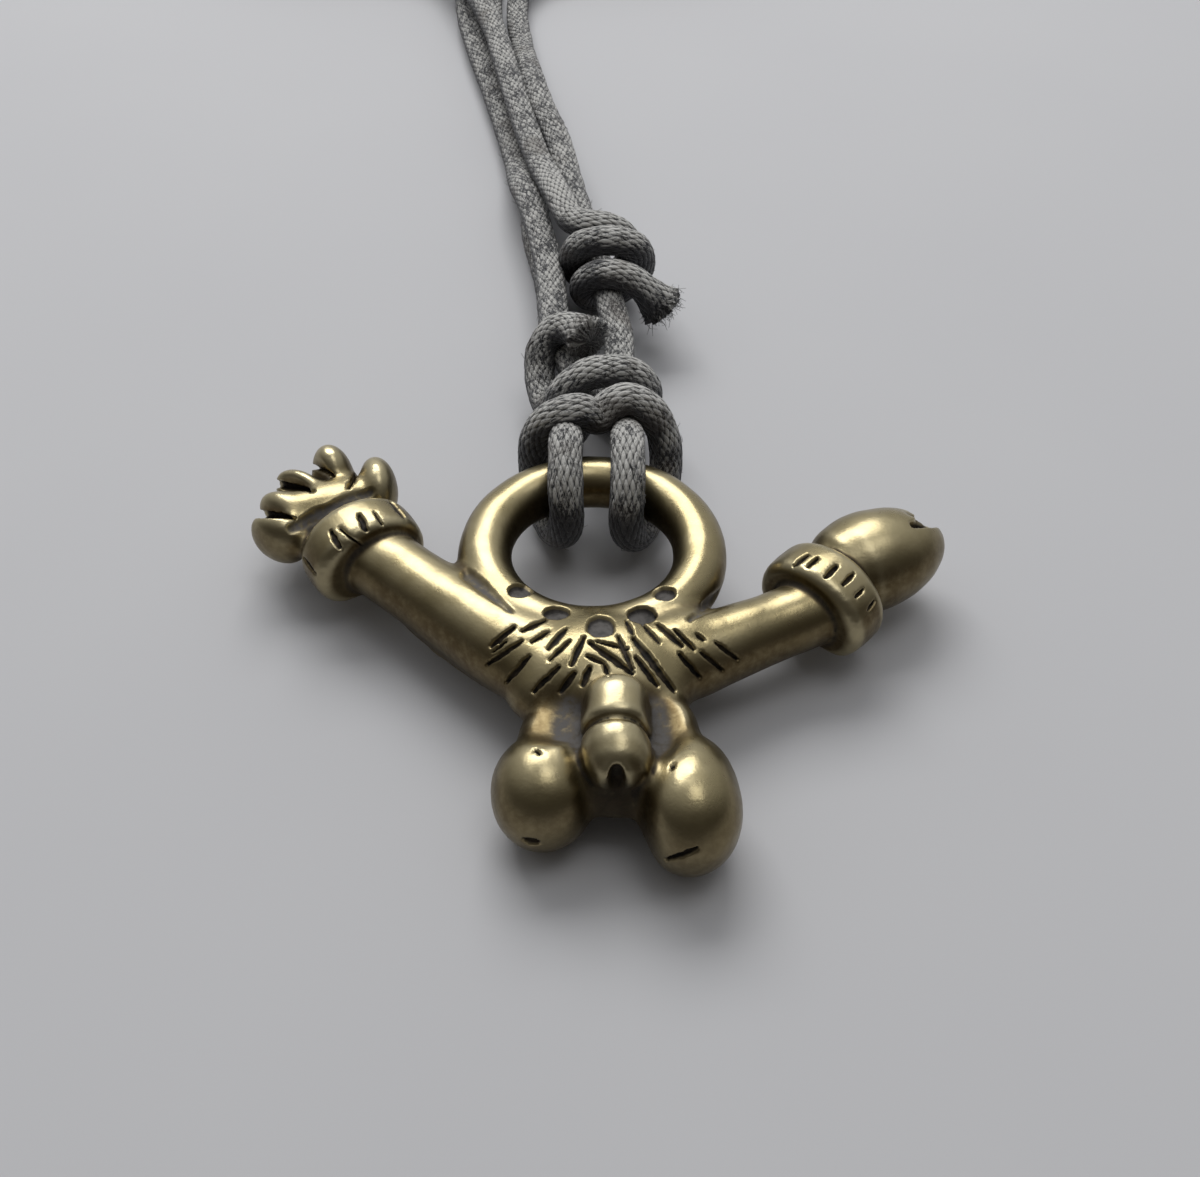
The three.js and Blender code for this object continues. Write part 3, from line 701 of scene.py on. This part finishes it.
def cord_pieces(material):
    hitch = LEFT_LEG_TOP + hitch_leg(*LEFT_LEG) + LEFT_LOBE + [HITCH_DIP]
    hitch += RIGHT_LOBE + hitch_leg(*RIGHT_LEG)[::-1]
    right_coil = coil_points(RIGHT_COIL_X, -1)[::-1] + [(RIGHT_RIM_X, COIL_Y, COIL_LOW)]
    left_coil = coil_points(LEFT_COIL_X, 1) + [(LEFT_COIL_X, COIL_NEAR, COIL_HIGH)]
    hitched = braided_cord("hitched_cord", hitch + RIGHT_STRAND + right_coil)
    left = braided_cord("left_strand_cord", LEFT_STRAND + left_coil, start_at=0.3, seed=2)
    upper = braided_cord("upper_feed_cord", LEFT_FEED + UPPER_KNOT, start_at=0.5, flare=0.6, seed=3)
    lower = braided_cord("lower_feed_cord", RIGHT_FEED + LOWER_KNOT, start_at=0.2, flare=0.45, seed=4)
    for cord, _, _ in (hitched, left, upper, lower):
        cord.data.materials.append(material)
    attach(hitched[0], "cord")
    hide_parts("cow_hitch", "right_strand", "right_coil")
    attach(left[0], "cord")
    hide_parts("left_strand", "left_coil")
    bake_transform(upper[0])
    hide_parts("left_feed", "upper_sliding_knot")
    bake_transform(lower[0])
    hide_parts("right_feed", "lower_sliding_knot")
    left_tie = coil_lashing("left_coil_lashing", LEFT_COIL_X, "left_coil_tie", material)
    right_tie = coil_lashing("right_coil_lashing", RIGHT_COIL_X, "right_coil_tie", material)


# Cast amulet

# The sheet that leans over the front of the casting, on which its marks are laid out: its way up and its face
VIEW_UP = np.array([0, 0.725, 0.688])
VIEW_OUT = np.array([0, -0.688, 0.725])

# Fineness of the casting's skin, how near points are made one, and how deep its marks are cut, in mm
SKIN_STEP = 0.153
MERGE_WITHIN = 0.0005
STROKE_DEPTH = 0.27
PIT_DEPTH = 0.36
GAP_DEPTH = 0.7
SEAM_DEPTH = 0.22
CAST_WAVES = 0.035
# Rounds of easing: of the skin where it is crisp and where it is smooth, and to find narrow and wide
# hollows. The skin moves only a share of the way in each round
CRISP_ROUNDS = 6
SMOOTH_ROUNDS = 30
NARROW_ROUNDS = 8
WIDE_ROUNDS = 70
EASE_SHARE = 0.5
# Where each kind of mark ends, in half widths: whole inside the first number, gone beyond the second
STROKE_EDGE = (0.35, 1.1)
PIT_EDGE = (0.84, 1.02)
GAP_EDGE = (0.3, 1.05)
CREASE_EDGE = (0.1, 1.2)
SEAM_EDGE = (0.4, 1.1)
# How far out the skin is made finer round the marks, in half widths
FINE_STROKES = 2.2
FINE_PITS = 1.5
FINE_GAPS = 1.6

# Engraved strokes, each from one place to another on the sheet: across, up, across, up and width,
# in mm from the frame's origin
HAIR_STROKES = [
    (-5.35, 1.50, -4.20, 2.50, 0.34), (-3.80, 2.30, -2.55, 2.85, 0.28), (-5.25, 1.20, -4.55, 1.80, 0.18),
    (-5.55, 0.55, -3.75, 1.80, 0.30), (-3.25, 1.75, -2.40, 2.30, 0.24), (-2.40, 1.45, -1.55, 2.40, 0.36),
    (-2.30, 0.90, -1.30, 1.85, 0.28), (-1.20, 0.65, -0.60, 2.00, 0.34), (-4.55, -0.30, -3.35, 1.05, 0.32),
    (-3.10, -0.70, -1.85, 0.55, 0.34), (-1.75, -0.70, -1.05, 0.25, 0.38), (-0.65, -0.30, -0.30, 0.50, 0.42),
    (-0.30, 1.75, 1.85, 0.25, 0.38), (0.05, 1.80, 1.65, 1.45, 0.22), (1.15, 2.05, 1.85, 0.45, 0.34),
    (-0.45, 1.10, 0.40, 0.75, 0.26), (1.60, 2.80, 1.90, 2.20, 0.32), (2.45, 2.60, 3.25, 1.70, 0.26),
    (3.15, 2.65, 4.40, 1.55, 0.34), (4.05, 2.35, 5.00, 1.35, 0.26), (5.20, 2.10, 5.50, 1.85, 0.30),
    (6.15, 1.70, 7.30, 0.80, 0.28), (5.40, 1.20, 6.50, 0.25, 0.30), (4.25, 1.15, 5.30, -0.05, 0.32),
    (1.95, 1.95, 3.95, -0.65, 0.44), (2.05, 1.00, 3.10, -0.40, 0.36), (0.45, 0.65, 0.60, 0.25, 0.30),
]
# Nicks and dents left in the testicles
CASTING_FLAWS = [
    (-2.85, -3.20, -2.65, -3.35, 0.18), (-3.35, -7.50, -2.75, -7.60, 0.45), (3.50, -3.95, 3.65, -3.85, 0.16),
    (3.35, -8.20, 4.70, -7.50, 0.34),
]
CUFF_NICKS = [
    (-12.95, 8.50, -12.45, 7.60, 0.42), (-12.15, 8.65, -11.65, 7.95, 0.20),
    (-11.60, 9.45, -10.65, 8.40, 0.24), (-14.45, 7.55, -13.85, 6.65, 0.40),
    (-13.95, 7.75, -12.80, 6.80, 0.16), (-16.15, 6.15, -15.35, 5.25, 0.24),
    (10.50, 5.65, 11.30, 6.25, 0.26), (11.20, 5.60, 11.80, 6.10, 0.26), (12.05, 5.05, 12.75, 5.65, 0.32),
    (13.00, 4.70, 13.60, 5.20, 0.36), (13.65, 4.00, 14.10, 4.40, 0.26), (14.35, 3.30, 14.75, 3.80, 0.26),
]
# Drilled pits along the neck: across, up, half width and half height
NECK_PITS = [
    (-4.00, 4.35, 0.68, 0.38), (-2.05, 3.20, 0.70, 0.36), (0.25, 2.55, 0.76, 0.55),
    (2.40, 3.10, 0.78, 0.46), (3.65, 4.20, 0.64, 0.38),
]

# Places whose small shapes stay crisp: across, ahead, above and reach
CRISP_PLACES = [
    (-12.9, 5.9, 3.6, 4.0), (1.0, -8.6, 6.5, 3.6), (12.7, 2.2, 3.6, 4.4),
]

# Gaps between the fingers, and the notch of the glans: as the strokes, from the open end to the closed one
FINGER_GAPS = [
    (-19.60, 8.75, -16.90, 8.40, 0.60), (-19.10, 10.65, -16.10, 10.00, 0.60),
    (-17.10, 11.75, -15.15, 11.00, 0.42), (-13.90, 11.55, -14.15, 10.25, 0.45),
    (19.10, 8.45, 17.45, 8.00, 1.30),
]
# Creases between the ring and the arms, likewise
RING_CREASES = [(-5.95, 4.50, -4.35, 3.30, 0.72), (6.35, 3.80, 4.85, 2.90, 0.90)]
# Dusty seam between the palm and the cuff
PALM_SEAM = [(-16.95, 7.80, -15.10, 9.00, 1.00), (-15.10, 9.00, -13.00, 9.95, 0.90)]
# Hollows beside the phallus: across, ahead, half width, half length and height of the floor
SADDLES = [(-2.2, -7.2, 2.0, 2.3, 4.5), (3.4, -7.6, 1.2, 2.2, 4.7)]
# Dust in the corners between them and the phallus: across, ahead, half width and half length
DUSTY_CORNERS = [(-1.3, -7.8, 0.95, 2.4), (3.0, -8.0, 0.75, 2.3)]
# The right testicle hangs lower than its solid: how far, and where the drop fades along and across
TESTICLE_DROP = 1.0
DROP_ALONG = (-11.0, -7.4)
DROP_ACROSS = (1.7, 3.2)
# Places painted black, partly patina and partly painted shade, by the phallus: across, ahead, above and reach
PATINA_AND_SHADE_PLACES = [(1.0, -9.6, 3.2, 3.0), (1.0, -12.0, 4.6, 1.3)]


def merged_copy(node):
    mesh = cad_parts[node].data.copy()
    mesh.transform(Matrix.Scale(1 / MM, 4))
    work = bmesh.new()
    work.from_mesh(mesh)
    bmesh.ops.remove_doubles(work, verts=work.verts, dist=MERGE_WITHIN)
    work.to_mesh(mesh)
    work.free()
    mesh.materials.clear()
    return mesh


def softened(mesh):
    """The solid as a fine even skin, with its facets smoothed away except where small shapes are crisp."""
    maker = linked("skin", mesh)
    skin = maker.modifiers.new("skin", "REMESH")
    skin.mode = "VOXEL"
    skin.voxel_size = SKIN_STEP
    depsgraph = bpy.context.evaluated_depsgraph_get()
    result = bpy.data.meshes.new_from_object(maker.evaluated_get(depsgraph))
    bpy.data.objects.remove(maker)
    places = values_of(result.vertices, "co", 3)
    sink_saddles(places)
    hang_testicle(places)
    crisp = nearness(places, CRISP_PLACES, 0.75)[:, None]
    edged = eased(result, places, CRISP_ROUNDS, EASE_SHARE)
    places = crisp * edged + (1 - crisp) * eased(result, places, SMOOTH_ROUNDS, EASE_SHARE)
    result.vertices.foreach_set("co", places.ravel())
    result.update()
    return result


def sink_saddles(places):
    """Lowers the necks of the testicles to the floors of the hollows."""
    for x, y, wide, long, height in SADDLES:
        off = np.hypot((places[:, 0] - x) / wide, (places[:, 1] - y) / long)
        above = np.maximum(places[:, 2] - height, 0)
        places[:, 2] -= above * step_down(off, 0.3, 1.0)


def hang_testicle(places):
    """Draws the right testicle down, away from the ring."""
    along = step_down(places[:, 1], *DROP_ALONG)
    across = 1 - step_down(places[:, 0], *DROP_ACROSS)
    places[:, 1] -= TESTICLE_DROP * along * across


def saddle_shade_share(places):
    """Share of painted shade on the necks beside the phallus: 1 on them, 0 away from them."""
    share = np.zeros(len(places))
    for x, y, wide, long, height in SADDLES:
        off = np.hypot((places[:, 0] - x) / (wide + 0.5), (places[:, 1] - y) / long)
        below = step_down(places[:, 2], height + 0.5, height + 1.2)
        share = np.maximum(share, step_down(off, 0.6, 1.1) * below)
    return share


def corner_dust(places):
    """1 in the dusty corners beside the phallus, 0 away from them."""
    share = np.zeros(len(places))
    for x, y, wide, long in DUSTY_CORNERS:
        off = np.hypot((places[:, 0] - x) / wide, (places[:, 1] - y) / long)
        share = np.maximum(share, step_down(off, 0.6, 1.2) * step_down(places[:, 2], 4.9, 5.4))
    return share


def refined(mesh, chosen):
    """Halves the edges between chosen points, so that the faces there are finer."""
    work = bmesh.new()
    work.from_mesh(mesh)
    work.verts.ensure_lookup_table()
    edges = [edge for edge in work.edges if chosen[edge.verts[0].index] and chosen[edge.verts[1].index]]
    bmesh.ops.subdivide_edges(work, edges=edges, cuts=1, use_grid_fill=True)
    work.to_mesh(mesh)
    work.free()
    mesh.update()


def stroke_distance(across, up, stroke):
    """How far each place lies from a tapered groove's middle, in half widths of the groove."""
    start = np.array(stroke[:2])
    line = np.array(stroke[2:4]) - start
    share = np.clip(((across - start[0]) * line[0] + (up - start[1]) * line[1]) / (line @ line), 0, 1)
    off = np.hypot(across - start[0] - share * line[0], up - start[1] - share * line[1])
    width = stroke[4] / 2 * (0.5 + 0.5 * np.sin(np.pi * np.clip(share, 0.04, 0.96)) ** 0.6)
    return off / width


def gap_distance(across, up, gap):
    """The same for a gap that narrows from its open end to a point."""
    start = np.array(gap[:2])
    line = np.array(gap[2:4]) - start
    share = np.clip(((across - start[0]) * line[0] + (up - start[1]) * line[1]) / (line @ line), -0.6, 1)
    off = np.hypot(across - start[0] - share * line[0], up - start[1] - share * line[1])
    return off / (gap[4] / 2 * (1 - 0.65 * np.maximum(share, 0)))


def pit_distance(across, up, pit):
    return np.hypot((across - pit[0]) / pit[2], (up - pit[1]) / pit[3])


def nearest(places, marks, distance):
    """How far each place lies from the nearest of the marks, on the sheet."""
    across = places[:, 0]
    up = places @ VIEW_UP
    return np.min([distance(across, up, mark) for mark in marks], axis=0)


def eased(mesh, places, rounds, share=1.0):
    """Places after each has moved towards its neighbours' middle a number of times."""
    edges = np.empty(len(mesh.edges) * 2, int)
    mesh.edges.foreach_get("vertices", edges)
    edges = edges.reshape(-1, 2)
    count = len(places)
    near = np.bincount(edges.ravel(), minlength=count)
    soft = places.copy()
    for _ in range(rounds):
        total = np.zeros_like(soft)
        for axis in range(3):
            total[:, axis] = np.bincount(edges[:, 0], soft[edges[:, 1], axis], count)
            total[:, axis] += np.bincount(edges[:, 1], soft[edges[:, 0], axis], count)
        soft += (total / near[:, None] - soft) * share
    return soft


def hollowness(mesh, places, normals, rounds):
    """How far each point lies in a hollow: the way to its neighbours' middle, along its normal."""
    return ((eased(mesh, places, rounds) - places) * normals).sum(1)


def nearness(places, chosen, inner):
    """1 within the inner share of a chosen place's reach, 0 beyond its reach."""
    near = np.zeros(len(places))
    for x, y, z, reach in chosen:
        off = np.linalg.norm(places - np.array([x, y, z]), axis=1)
        near = np.maximum(near, step_down(off, reach * inner, reach))
    return near


def engraved(mesh):
    """Cuts the strokes, nicks, pits, gaps and creases into the skin, and notes their patina and dust, and
    where painted shade goes: on the sides, on the necks and by the phallus.
    """
    places = values_of(mesh.vertices, "co", 3)
    normals = values_of(mesh.vertex_normals, "vector", 3)
    add_values(mesh, "narrow", hollowness(mesh, places, normals, NARROW_ROUNDS))
    add_values(mesh, "wide", hollowness(mesh, places, normals, WIDE_ROUNDS))
    front = (normals @ VIEW_OUT) > 0
    strokes = HAIR_STROKES + CASTING_FLAWS + CUFF_NICKS
    fine = nearest(places, strokes, stroke_distance) < FINE_STROKES
    fine |= nearest(places, NECK_PITS, pit_distance) < FINE_PITS
    fine |= nearest(places, FINGER_GAPS + RING_CREASES, gap_distance) < FINE_GAPS
    refined(mesh, front & fine)
    places = values_of(mesh.vertices, "co", 3)
    normals = values_of(mesh.vertex_normals, "vector", 3)
    faces = step_down(-(normals @ VIEW_OUT), -0.3, 0.0)
    ragged = waves(places, 3.2) * 0.3
    cut = step_down(nearest(places, strokes, stroke_distance) + ragged, *STROKE_EDGE) * faces
    pits = step_down(nearest(places, NECK_PITS, pit_distance) + ragged * 0.25, *PIT_EDGE) * faces
    gaps = step_down(nearest(places, FINGER_GAPS, gap_distance) + ragged * 0.3, *GAP_EDGE)
    gaps *= step_down(-(normals @ VIEW_OUT), 0.1, 0.5)
    creases = step_down(nearest(places, RING_CREASES, gap_distance) + ragged * 0.3, *CREASE_EDGE) * faces
    seam = step_down(nearest(places, PALM_SEAM, stroke_distance) + ragged * 0.4, *SEAM_EDGE) * faces
    seam = np.maximum(seam, creases)
    depth = np.maximum(cut * STROKE_DEPTH, pits * PIT_DEPTH)
    depth = np.maximum(depth, np.maximum(gaps * GAP_DEPTH, seam * SEAM_DEPTH))
    depth += waves(places, 0.55) * CAST_WAVES
    moved = places - normals * depth[:, None]
    mesh.vertices.foreach_set("co", moved.ravel())
    mesh.update()
    add_values(mesh, "patina", np.maximum(cut, gaps))
    add_values(mesh, "pits", pits)
    add_values(mesh, "dust", np.maximum(np.maximum(pits, seam), corner_dust(places) * faces))
    # Painted shade, partly black patina, in two deep places by the phallus
    add_values(mesh, "patina_and_shade", nearness(places, PATINA_AND_SHADE_PLACES, 0.55))
    # Painted shade: faces that point less upward, and the necks beside the phallus, get a brown film so the
    # tops look lit
    add_values(mesh, "painted_side_shade", np.maximum(step_down(normals[:, 2], 0.42, 0.97), saddle_shade_share(places)))


# Colours of the casting: rubbed metal, its crests, the brown painted shade on its sides and in its wide
# hollows, the patina and the dust
METAL_DULL = (0.35, 0.29, 0.155)
METAL_BRIGHT = (0.47, 0.40, 0.235)
METAL_CREST = (0.60, 0.53, 0.34)
PAINTED_SHADE_BROWN = (0.105, 0.074, 0.034)
PATINA_BLACK = (0.011, 0.009, 0.007)
PATINA_BROWN = (0.05, 0.037, 0.023)
DUST_GREY = (0.115, 0.108, 0.102)


def aged_bronze():
    """Bronze bright on top with brown painted shade on its sides; black patina in its cuts and pits, with
    painted shade in its wide hollows and by the phallus; and dust.
    """
    material, tree, shader = new_material("aged_bronze")
    place = object_place(tree)
    broad = cloudy(tree, place, 240.0, 4.0, 0.55)
    fine = cloudy(tree, place, 2300.0, 4.0, 0.6)
    speck = cloudy(tree, place, 7000.0, 2.0, 0.5)
    narrow = point_value(tree, "narrow")
    wide = point_value(tree, "wide")
    pits = point_value(tree, "pits")
    grain = maths(tree, "MULTIPLY_ADD", fine, 0.9, 0.5)
    # Black in narrow cuts is patina; black in wide hollows and in the two dark places by the phallus is
    # partly patina and partly painted shade
    hollow = maths(tree, "MAXIMUM", ramped(tree, narrow, 0.012, 0.06), ramped(tree, wide, 0.05, 0.28))
    hollow = maths(tree, "MAXIMUM", hollow, point_value(tree, "patina_and_shade"))
    hollow = maths(tree, "MULTIPLY", hollow, grain)
    dark = maths(tree, "MAXIMUM", hollow, ramped(tree, point_value(tree, "patina"), 0.2, 0.65))
    dark = maths(tree, "MAXIMUM", dark, ramped(tree, pits, 0.3, 0.7))
    dark.node.use_clamp = True
    polished = blended(tree, ramped(tree, broad, 0.36, 0.66), METAL_DULL, METAL_BRIGHT)
    # Painted shade: a brown film on faces that point less upward, on the necks and in wide hollows
    brown_shade = maths(tree, "MAXIMUM", ramped(tree, wide, -0.03, 0.15), point_value(tree, "painted_side_shade"))
    brown_shade = maths(tree, "MULTIPLY", brown_shade, ramped(tree, fine, 0.25, 0.65, 0.8, 1.0))
    brown_shade = maths(tree, "MULTIPLY", brown_shade, ramped(tree, broad, 0.3, 0.6, 0.75, 1.0))
    polished = blended(tree, brown_shade, polished, PAINTED_SHADE_BROWN)
    crests = ramped(tree, narrow, -0.012, -0.05, 0.0, 0.5)
    polished = blended(tree, crests, polished, METAL_CREST)
    stain = blended(tree, ramped(tree, fine, 0.4, 0.62), PATINA_BLACK, PATINA_BROWN)
    dust = maths(tree, "MULTIPLY", point_value(tree, "dust"), ramped(tree, fine, 0.3, 0.6, 0.45, 1.0))
    stain = blended(tree, dust, stain, DUST_GREY)
    covered = maths(tree, "MAXIMUM", dark, dust)
    colour = blended(tree, covered, polished, stain)
    tree.links.new(colour, shader.inputs["Base Color"])
    tree.links.new(maths(tree, "MULTIPLY_ADD", covered, -0.9, 1.0), shader.inputs["Metallic"])
    shader.inputs["Specular IOR Level"].default_value = 0.3
    worn = maths(tree, "MULTIPLY_ADD", fine, 0.14, maths(tree, "MULTIPLY_ADD", broad, 0.2, 0.13))
    worn = maths(tree, "MULTIPLY_ADD", brown_shade, 0.08, worn)
    tree.links.new(maths(tree, "MULTIPLY_ADD", covered, 0.4, worn), shader.inputs["Roughness"])
    height = maths(tree, "MULTIPLY_ADD", fine, 0.6, maths(tree, "MULTIPLY", speck, 0.4))
    tree.links.new(relief(tree, height, 0.00006, 0.25), shader.inputs["Normal"])
    return material


def cast_amulet(material):
    mesh = softened(merged_copy("amulet_casting"))
    engraved(mesh)
    mesh.transform(Matrix.Scale(MM, 4))
    mesh.name = "cast_amulet"
    mesh.materials.clear()
    mesh.materials.append(material)
    shade_smooth(mesh)
    amulet = linked("cast_amulet", mesh)
    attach(amulet, "amulet")
    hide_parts("amulet_casting")


# Floor and light

FLOOR_HALF = 1.5
FLOOR_GREY = (0.58, 0.58, 0.595)
FLOOR_PALE = (0.61, 0.61, 0.62)
ROOM_DARK = (0.075, 0.070, 0.064)
ROOM_PALE = (0.55, 0.56, 0.58)
LIT_PLACE = Vector((0, 0.02, 0))


def pale_floor():
    mesh = bpy.data.meshes.new("pale_floor")
    work = bmesh.new()
    bmesh.ops.create_grid(work, x_segments=1, y_segments=1, size=FLOOR_HALF)
    work.to_mesh(mesh)
    work.free()
    material, tree, shader = new_material("pale_floor")
    shade = cloudy(tree, object_place(tree), 40.0, 2.0)
    tree.links.new(blended(tree, shade, FLOOR_GREY, FLOOR_PALE), shader.inputs["Base Color"])
    shader.inputs["Roughness"].default_value = 0.75
    mesh.materials.append(material)
    linked("pale_floor", mesh)


def soft_lamp(name, place, size, power):
    data = bpy.data.lights.new(name, "AREA")
    data.shape = "RECTANGLE"
    data.size = size[0]
    data.size_y = size[1]
    data.energy = power
    lamp = linked(name, data)
    lamp.location = place
    lamp.rotation_euler = (LIT_PLACE - Vector(place)).to_track_quat("-Z", "Y").to_euler()


def studio_light():
    world = bpy.data.worlds.new("studio")
    world.use_nodes = True
    tree = world.node_tree
    direction = tree.nodes.new("ShaderNodeTexCoord").outputs["Generated"]
    parts = tree.nodes.new("ShaderNodeSeparateXYZ")
    tree.links.new(direction, parts.inputs[0])
    lean = maths(tree, "MULTIPLY", parts.outputs[2], 0.6)
    lean = maths(tree, "MULTIPLY_ADD", parts.outputs[1], 0.75, lean)
    colour = blended(tree, ramped(tree, lean, -0.15, 1.0), ROOM_DARK, ROOM_PALE)
    background = tree.nodes["Background"]
    tree.links.new(colour, background.inputs["Color"])
    background.inputs["Strength"].default_value = 1.0
    bpy.context.scene.world = world
    soft_lamp("back_window", (-0.06, 0.30, 0.34), (0.34, 0.22), 1.1)
    soft_lamp("top_panel", (0.10, 0.02, 0.45), (0.2, 0.2), 0.2)


photo_camera()
cord_pieces(waxed_braid())
cast_amulet(aged_bronze())
pale_floor()
studio_light()
bpy.context.scene.view_settings.view_transform = "Standard"
